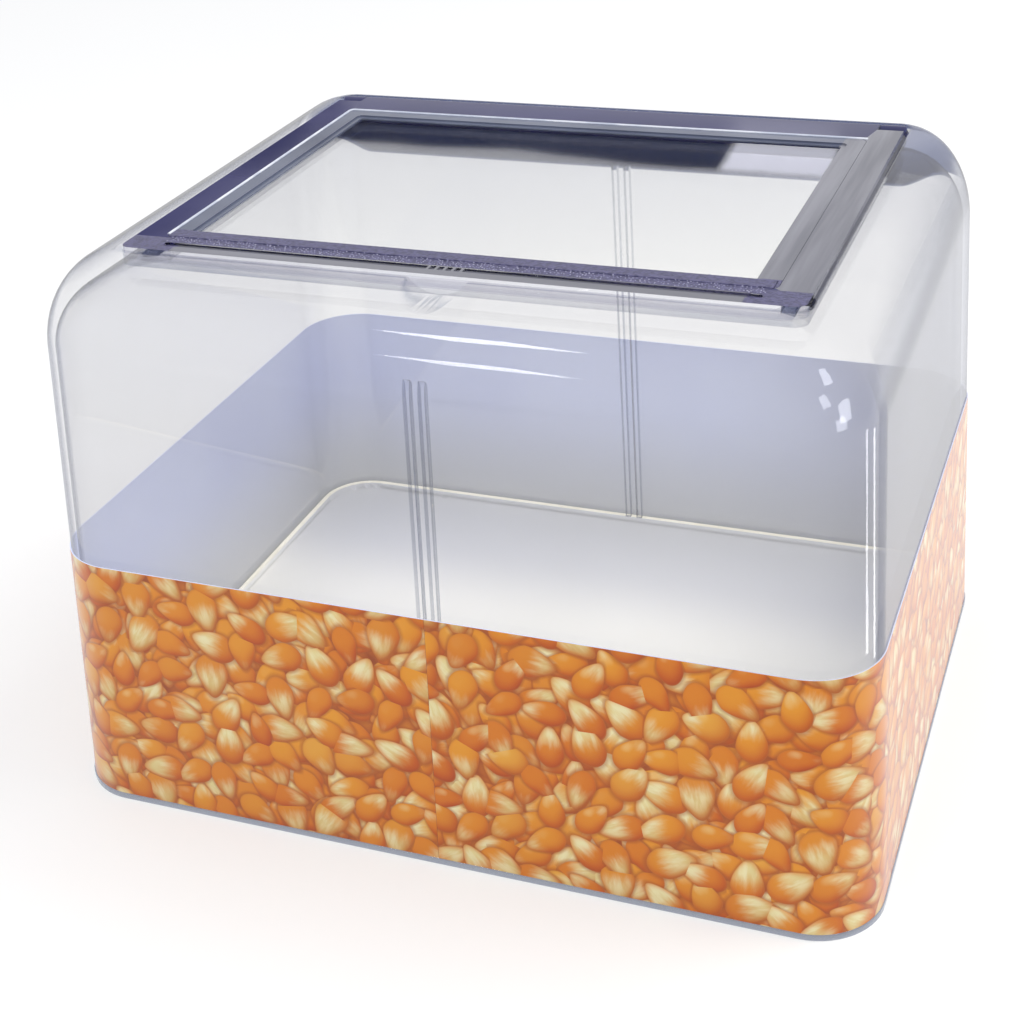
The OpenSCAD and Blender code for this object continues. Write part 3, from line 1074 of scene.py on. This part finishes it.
@dataclass
class FlipLid:
    """Violet frame with a painted glare on its right run, clear pane, grey-blue bezel, smoky seal, grained grip strip
    with painted glints, and the painted highlight along the step.
    """

    # violet-tinted ABS: deep and glossy, almost black where it turns away
    violet: Moulded = Moulded("violet_tinted_abs", "2a2b58", "343465", 0.1, specular=0.22, flow_mm=70.0)
    # silver grey ABS on the finger rail: brushed-looking, with streaks along the lid
    rail: Moulded = Moulded(
        "silver_grey_abs", "62636e", "7c7d89", 0.16, specular=0.45, flow_mm=40.0, stretch=(0.2, 1.0, 1.0)
    )
    # spark-eroded grain on violet ABS: a matt, speckled strip, drawn coarser than real so that it shows
    grained: Moulded = Moulded(
        "grained_violet_abs", "3e3d5f", "5d5b7e", 0.4, specular=0.3, flow_mm=1.6, grain_mm=0.8, grain_depth_mm=0.4
    )
    # painted glints: the grain's raised tips as pale specks, for the sparkle of the grain
    tips: Moulded = Moulded("painted_glint_grain_tips", "8584a6", "b4b3cc", 0.22, specular=0.6, flow_mm=2.5)
    # painted glare: the right run in streaked grey, a satin sheen drawn out from front to rear
    side: Moulded = Moulded("painted_glare_grey_abs", "60616d", "7d7e89", 0.2, flow_mm=9.0, stretch=(1.0, 0.06, 1.0))
    # clear acrylic sheet: free of colour, with a sharp reflection
    pane: ClearMoulding = ClearMoulding("clear_pane_sheet", "fefefd", "fbfbfa", "b4b7c6")
    # the frame's clear lower part in front: faint, with little reflection
    body: ClearMoulding = ClearMoulding("clear_abs_body", "fbfbfc", "f4f4f8", "c9ccd8", gloss=0.3)
    # grey-blue ABS: plain, cool and half glossy
    bezel: Moulded = Moulded("grey_blue_abs", "50566c", "5f667c", 0.18, specular=0.4)
    # smoky silicone: soft, blurred, see-through
    seal: ClearMoulding = ClearMoulding("smoky_silicone_seal", "b6bbce", "a2a8c0", "7f86a4", rough=0.3, gloss=0.4)
    # painted highlight: the polished edge of the window step as a thin pale line
    edge: BrightEdge = BrightEdge("painted_highlight_edge", "c3cadb", "e6eaf4")

    inner_half_w: ClassVar[float] = 110.2
    rail_half_w: ClassVar[float] = 101.8
    inner_front: ClassVar[float] = -75.46
    inner_rear: ClassVar[float] = 81.96
    window_front: ClassVar[float] = -66.96
    grain_y: ClassVar[float] = -79.4
    skin: ClassVar[float] = 1.2
    seal_front: ClassVar[float] = 4.0

    def cuts(self) -> list[Cut]:
        """Planes where the finish changes: behind the rails, at the window, at the rails' ends and the frame's step.

        Returns:
            A point and a normal for each plane.
        """
        across, along = Vector((0, 1, 0)), Vector((1, 0, 0))
        rows = [(Vector((0, y * MM, 0)), across) for y in (self.grain_y, self.window_front)]
        rows += [(Vector((x * MM, 0, 0)), along) for x in (-self.rail_half_w, self.rail_half_w)]
        return rows + [(Vector((0, self.inner_front * MM, 0)), across)]

    def frame_slot(self, centre: Vector, normal: Vector) -> int:
        """Sorts the frame's faces by finish.

        Args:
            centre: the face's centre in metres.
            normal: its normal.

        Returns:
            Rail and grain on the top of the front run, clear below it, painted glare grey on the right, violet
            elsewhere.
        """
        x, y, z = centre / MM
        if y < self.inner_front + 0.1:
            if z < LID_TOP - self.skin or normal.y < -0.3:
                return FrameFace.CLEAR
            return FrameFace.RAIL if y < self.grain_y and abs(x) < self.rail_half_w else FrameFace.GRAIN
        if x > self.inner_half_w - 0.2 and y > self.inner_front:
            return FrameFace.PAINTED_GLARE
        return FrameFace.VIOLET

    def bezel_slot(self, centre: Vector, normal: Vector) -> int:
        """Gives grain to the front run, painted glare grey to the right run, grey-blue to the rest.

        Args:
            centre: the face's centre in metres.
            normal: its normal.

        Returns:
            The face's slot.
        """
        x, y, _ = centre / MM
        if y < self.window_front + 0.1:
            return BezelFace.GRAIN
        return BezelFace.PAINTED_GLARE if x > self.inner_half_w - 9.5 else BezelFace.PLAIN

    def seal_slot(self, centre: Vector, normal: Vector) -> int:
        """Gives clear silicone to the front run, smoky to the rest."""
        return 1 if centre.y / MM < self.inner_front + self.seal_front else 0

    def step_line(self) -> Piece:
        """Lays the painted highlight, a pale bead, along the joint of frame and bezel, on the left and behind, by
        Geometry Nodes.

        Returns:
            The piece as a plain mesh.
        """
        x, rear, front = self.inner_half_w, self.inner_rear, self.inner_front + 3
        corners = [(px * MM, py * MM, LID_TOP * MM) for px, py in ((-x, front), (-x, rear), (x, rear))]
        obj = outlined("step_line", corners, edges=[(0, 1), (1, 2)])
        tree = bpy.data.node_groups.new("bead_on_path", "GeometryNodeTree")
        inputs = {"Path": "Geometry", "Bead radius": "Float", "Corner radius": "Float", "Finish": "Material"}
        given, result = ends(tree, inputs, {"Bead": "Geometry"})
        path = add(tree, "GeometryNodeMeshToCurve", [given["Path"]])
        turn = {"Curve": path, "Radius": given["Corner radius"], "Count": 6}
        turned = add(tree, "GeometryNodeFilletCurve", turn, mode="POLY")
        ring = add(tree, "GeometryNodeCurvePrimitiveCircle", {"Radius": given["Bead radius"], "Resolution": 8})
        tube = add(tree, "GeometryNodeCurveToMesh", {"Curve": turned, "Profile Curve": ring, "Fill Caps": True})
        real = add(tree, "GeometryNodeRealizeInstances", [tube])
        done = add(tree, "GeometryNodeSetMaterial", {"Geometry": real, "Material": given["Finish"]})
        feed(tree, done, result["Bead"])
        return run_tree(obj, tree, {"Bead radius": 0.55 * MM, "Corner radius": 2.2 * MM, "Finish": self.edge.build()})

    def pips(self) -> Piece:
        """Scatters the raised pips of the grained strip by Geometry Nodes, from the window to the rails, pale as
        painted glints.

        Returns:
            The piece as a plain mesh.
        """
        y0, y1 = self.grain_y + 0.5, self.window_front - 0.5
        half, z = self.inner_half_w - 3, LID_TOP - 0.02
        field = [(x * MM, y * MM, z * MM) for x, y in ((-half, y0), (half, y0), (half, y1), (-half, y1))]
        obj = outlined("grip_pips", field, faces=[(0, 1, 2, 3)])
        tree = bpy.data.node_groups.new("scattered_pips", "GeometryNodeTree")
        sizes = {"Pip radius": "Float", "Least distance": "Float", "Density": "Float"}
        given, result = ends(tree, {"Field": "Geometry", **sizes, "Finish": "Material"}, {"Pips": "Geometry"})
        scatter = {
            "Mesh": given["Field"],
            "Distance Min": given["Least distance"],
            "Density Max": given["Density"],
            "Seed": 7,
        }
        spots = add(tree, "GeometryNodeDistributePointsOnFaces", scatter, distribute_method="POISSON")
        pip = add(tree, "GeometryNodeMeshIcoSphere", {"Radius": given["Pip radius"], "Subdivisions": 1})
        span = {"Min": (0.6, 0.6, 0.5), "Max": (1.2, 1.0, 0.9), "Seed": 11}
        size = add(tree, "FunctionNodeRandomValue", span, data_type="FLOAT_VECTOR")
        each = add(tree, "GeometryNodeInstanceOnPoints", {"Points": spots, "Instance": pip, "Scale": size})
        real = add(tree, "GeometryNodeRealizeInstances", [each])
        done = add(tree, "GeometryNodeSetMaterial", {"Geometry": real, "Material": given["Finish"]})
        feed(tree, done, result["Pips"])
        values = {"Pip radius": 0.36 * MM, "Least distance": 0.95 * MM, "Density": 1.3e6, "Finish": self.tips.build()}
        return run_tree(obj, tree, values)

    def build(self) -> None:
        """Builds the lid's pieces over their nodes."""
        grained, side, clear = self.grained.build(), self.side.build(), self.body.build()
        cuts = self.cuts()
        faces = [self.violet.build(), self.rail.build(), grained, side, clear]
        frame_piece = crisp("lid_frame", "lid_frame_moulding", 0.5, faces, self.frame_slot, cuts)
        place(frame_piece, Body.LID, Slot.LID, "lid_frame")
        pane = crisp("lid_pane", "lid_pane_sheet", 0.25, [self.pane.build()])
        place(pane, Body.LID, Slot.PANE, "lid_pane")
        faces = [self.bezel.build(), grained, side]
        bezel = crisp("lid_bezel", "lid_bezel_moulding", 0.3, faces, self.bezel_slot, cuts)
        place(bezel, Body.LID, Slot.BEZEL, "lid_bezel")
        seal = crisp("lid_gasket", "lid_seal", 0.4, [self.seal.build(), clear], self.seal_slot)
        place(seal, Body.LID, Slot.SEAL, "lid_gasket")
        place(crisp("grip_strip", "grip_strip_inlay", 0.3, [grained]), Body.LID, Slot.GRIP, "grip_strip")
        place(self.pips(), Body.LID, Slot.GRIP)
        place(self.step_line(), Body.LID, Slot.BEZEL)


@dataclass
class Hinge:
    """Two bonded blocks and two steel pins."""

    # the lid's violet ABS, a little lighter in the small blocks
    block: Moulded = Moulded("violet_abs_block", "34355a", "3e3f66", 0.2, specular=0.3)
    # bright steel wire
    steel: DrawnSteel = DrawnSteel()

    def build(self) -> None:
        """Builds the smooth blocks and pins over their nodes."""
        block, steel = self.block.build(), self.steel.build()
        for side in ("left", "right"):
            node, pin = f"hinge_block_{side}", f"hinge_pin_{side}"
            place(crisp(node, f"{node}_moulding", 0.4, [block]), Body.BIN, Slot.LID, node)
            place(twin(pin, f"{pin}_wire", 30, [steel]), Body.LID, Slot.PIN, pin)


# -------------------- studio


@dataclass
class Studio:
    """Camera at the photograph's angle, white surround, soft key and front light, reflector cards and flags."""

    yaw: float = 0.3838
    pitch: float = 0.5107
    roll: float = -0.0596
    eye: Triple = (219.07, -577.60, 426.89)
    focal_px: float = 1736.83
    floor_half: float = 6.0
    card_y: float = 1500.0

    def camera(self) -> None:
        """Makes the camera that was fitted to the photograph's edges."""
        level = Vector((-math.sin(self.yaw), math.cos(self.yaw), 0))
        ahead = math.cos(self.pitch) * level - Vector((0, 0, math.sin(self.pitch)))
        right = Vector((math.cos(self.yaw), math.sin(self.yaw), 0))
        above = right.cross(ahead)
        rolled_right = math.cos(self.roll) * right + math.sin(self.roll) * above
        rolled_up = -math.sin(self.roll) * right + math.cos(self.roll) * above
        data = bpy.data.cameras.new("photo_camera")
        data.sensor_width = SENSOR_MM
        data.lens = self.focal_px / PHOTO_SIDE * SENSOR_MM
        data.clip_start, data.clip_end = 0.01, 50.0
        cam = bpy.data.objects.new("photo_camera", data)
        turn = Matrix((rolled_right, rolled_up, -ahead)).transposed().to_4x4()
        cam.matrix_world = Matrix.Translation(Vector(self.eye) * MM) @ turn
        bpy.context.scene.collection.objects.link(cam)
        bpy.context.scene.camera = cam

    def world(self) -> None:
        """Makes the white surround: plain soft light on the object, white where it is seen."""
        world = bpy.data.worlds.new("surround")
        world.use_nodes = True
        tree = world.node_tree
        tree.nodes.clear()
        soft = add(tree, "ShaderNodeBackground", ("f8f8fa", 0.85))
        white = add(tree, "ShaderNodeBackground", ("ffffff", 1.0))
        add(tree, "ShaderNodeOutputWorld", [add(tree, Kind.MIXED, (seen(tree), soft, white))])
        bpy.context.scene.world = world

    def floor(self) -> None:
        """Makes the white floor, just under the bin, which keeps the soft shadow."""
        s = self.floor_half
        corners = [(-s, -s, 0), (s, -s, 0), (s, s, 0), (-s, s, 0)]
        obj = outlined("floor_sheet", corners, faces=[(0, 1, 2, 3)], materials=[FloorPaper().build()])
        obj.location.z = -0.2 * MM

    def lamp(self, name: str, at: Triple, aim: Triple, size: Pair, power: float, tint: str = "ffffff") -> None:
        """Makes one soft rectangular lamp.

        Args:
            name: its name.
            at: its place in metres.
            aim: the point that it faces.
            size: its width and height in metres.
            power: watts.
            tint: its colour.
        """
        data = bpy.data.lights.new(name, "AREA")
        data.shape = "RECTANGLE"
        data.size, data.size_y = size
        data.energy = power
        data.color = linear(tint)[:3]
        obj = bpy.data.objects.new(name, data)
        obj.location = at
        obj.rotation_mode = "QUATERNION"
        obj.rotation_quaternion = (Vector(at) - Vector(aim)).to_track_quat("Z", "Y")
        obj.visible_glossy = False
        bpy.context.scene.collection.objects.link(obj)

    def card(self, name: str, corners: list[Triple], tint: str, strength: float) -> None:
        """Makes one reflector or flag that only reflections see.

        Args:
            name: its name.
            corners: four corners in metres.
            tint: its colour.
            strength: its brightness.
        """
        glow = CardGlow(name, tint, strength).build()
        obj = outlined(name, corners, faces=[(0, 1, 2, 3)], materials=[glow])
        for kind in ("camera", "diffuse", "transmission", "shadow", "volume_scatter"):
            setattr(obj, f"visible_{kind}", False)

    def mirrored_card(self, name: str, outline: list[Pair], tint: str, strength: float) -> None:
        """Makes an upright card behind the bin whose mirror image covers an outline on the lid's top.

        Args:
            name: its name.
            outline: four plan points in mm on the lid's top, as the mirror image shows them.
            tint: its colour.
            strength: its brightness.
        """
        ex, ey, ez = self.eye
        ez = 2 * LID_TOP - ez
        corners = []
        for x, y in outline:
            k = (self.card_y - ey) / (y - ey)
            corners.append(((ex + (x - ex) * k) * MM, self.card_y * MM, (ez + (LID_TOP - ez) * k) * MM))
        self.card(name, corners, tint, strength)

    def aimed_card(
        self,
        name: str,
        point: Triple,
        normal: Triple,
        half_deg: Pair,
        tint: str,
        strength: float,
        tapered: bool = False,
        far: float = 1.6,
    ) -> None:
        """Makes a card where a point of the surface mirrors it to the camera.

        Args:
            name: its name.
            point: the surface point in mm.
            normal: the outward normal there.
            half_deg: its azimuth and elevation reach to each side of the mirrored direction.
            tint: its colour.
            strength: its brightness.
            tapered: whether it narrows to both sides.
            far: its distance in metres.
        """
        p, n = Vector(point) * MM, Vector(normal).normalized()
        v = (Vector(self.eye) * MM - p).normalized()
        r = 2 * n.dot(v) * n - v
        azimuth, elevation = math.atan2(r.x, r.y), math.asin(r.z)
        wide, tall = half_deg

        def at(across: float, up: float) -> Triple:
            """Point of the card at an angle off the mirrored direction."""
            a, e = azimuth + math.radians(across), elevation + math.radians(up)
            return tuple(p + far * Vector((math.sin(a) * math.cos(e), math.cos(a) * math.cos(e), math.sin(e))))

        if tapered:
            corners = [at(-wide, 0), at(0, -tall), at(wide, 0), at(0, tall)]
        else:
            corners = [at(-wide, -tall), at(wide, -tall), at(wide, tall), at(-wide, tall)]
        self.card(name, corners, tint, strength)

    def light_paths(self) -> None:
        """Lets a light path cross as many clear walls as the bin has, in and out again."""
        bpy.context.scene.cycles.transparent_max_bounces = 32

    def build(self) -> None:
        """Sets the whole studio."""
        self.light_paths()
        self.camera()
        self.world()
        self.floor()
        self.lamp("key_softbox", (1.1, 0.45, 1.35), (0, 0, 0.1), (1.0, 1.0), 15.0, "fffcf6")
        self.lamp("front_softbox", (-0.4, -1.3, 1.5), (0, 0, 0.1), (1.4, 1.0), 7.0)
        self.mirrored_card("left_flag", [(-150, -110), (-106, -110), (-106, 80), (-150, 140)], "181a26", 1.0)
        self.mirrored_card("pane_flag", [(-104, 42), (60, 42), (60, 79), (-104, 79)], "0c0e16", 1.0)
        right_band = [(102.5, -92), (126, -92), (126, 108), (102.5, 74)]
        self.mirrored_card("right_band_card", right_band, "ffffff", 0.65)
        self.mirrored_card("pane_corner_card", [(62, 42), (101, 42), (101, 78), (62, 78)], "f4f4ff", 2.4)
        self.aimed_card("streak_card", (22, -109.8, 206.0), (0, -0.8, 0.6), (7, 3), "ffffff", 14.0, tapered=True)
        corner, outward = (149.0, -104.1, 150.0), (0.905, -0.42, 0.069)
        self.aimed_card("corner_card", corner, outward, (2.5, 26), "ffffff", 10.0, far=0.1)
        self.aimed_card("upper_window_card", (133.4, -109.0, 203.3), (0.373, -0.697, 0.612), (9, 9), "f6f8ff", 9.0)
        self.aimed_card("lower_window_card", (138.6, -110.7, 194.8), (0.597, -0.727, 0.339), (9, 9), "f6f8ff", 9.0)


def main() -> None:
    """Builds the sub-assemblies in order."""
    logging.basicConfig(level=logging.INFO, format="%(name)s: %(message)s")
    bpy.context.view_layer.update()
    for part in (ClearShell, PrintedWrap, FloorPan, Hinge, FlipLid, Studio):
        part().build()
        LOG.info("%s is built", part.__name__)
    bpy.context.scene.view_settings.view_transform = "Standard"


if __name__ == "__main__":
    main()
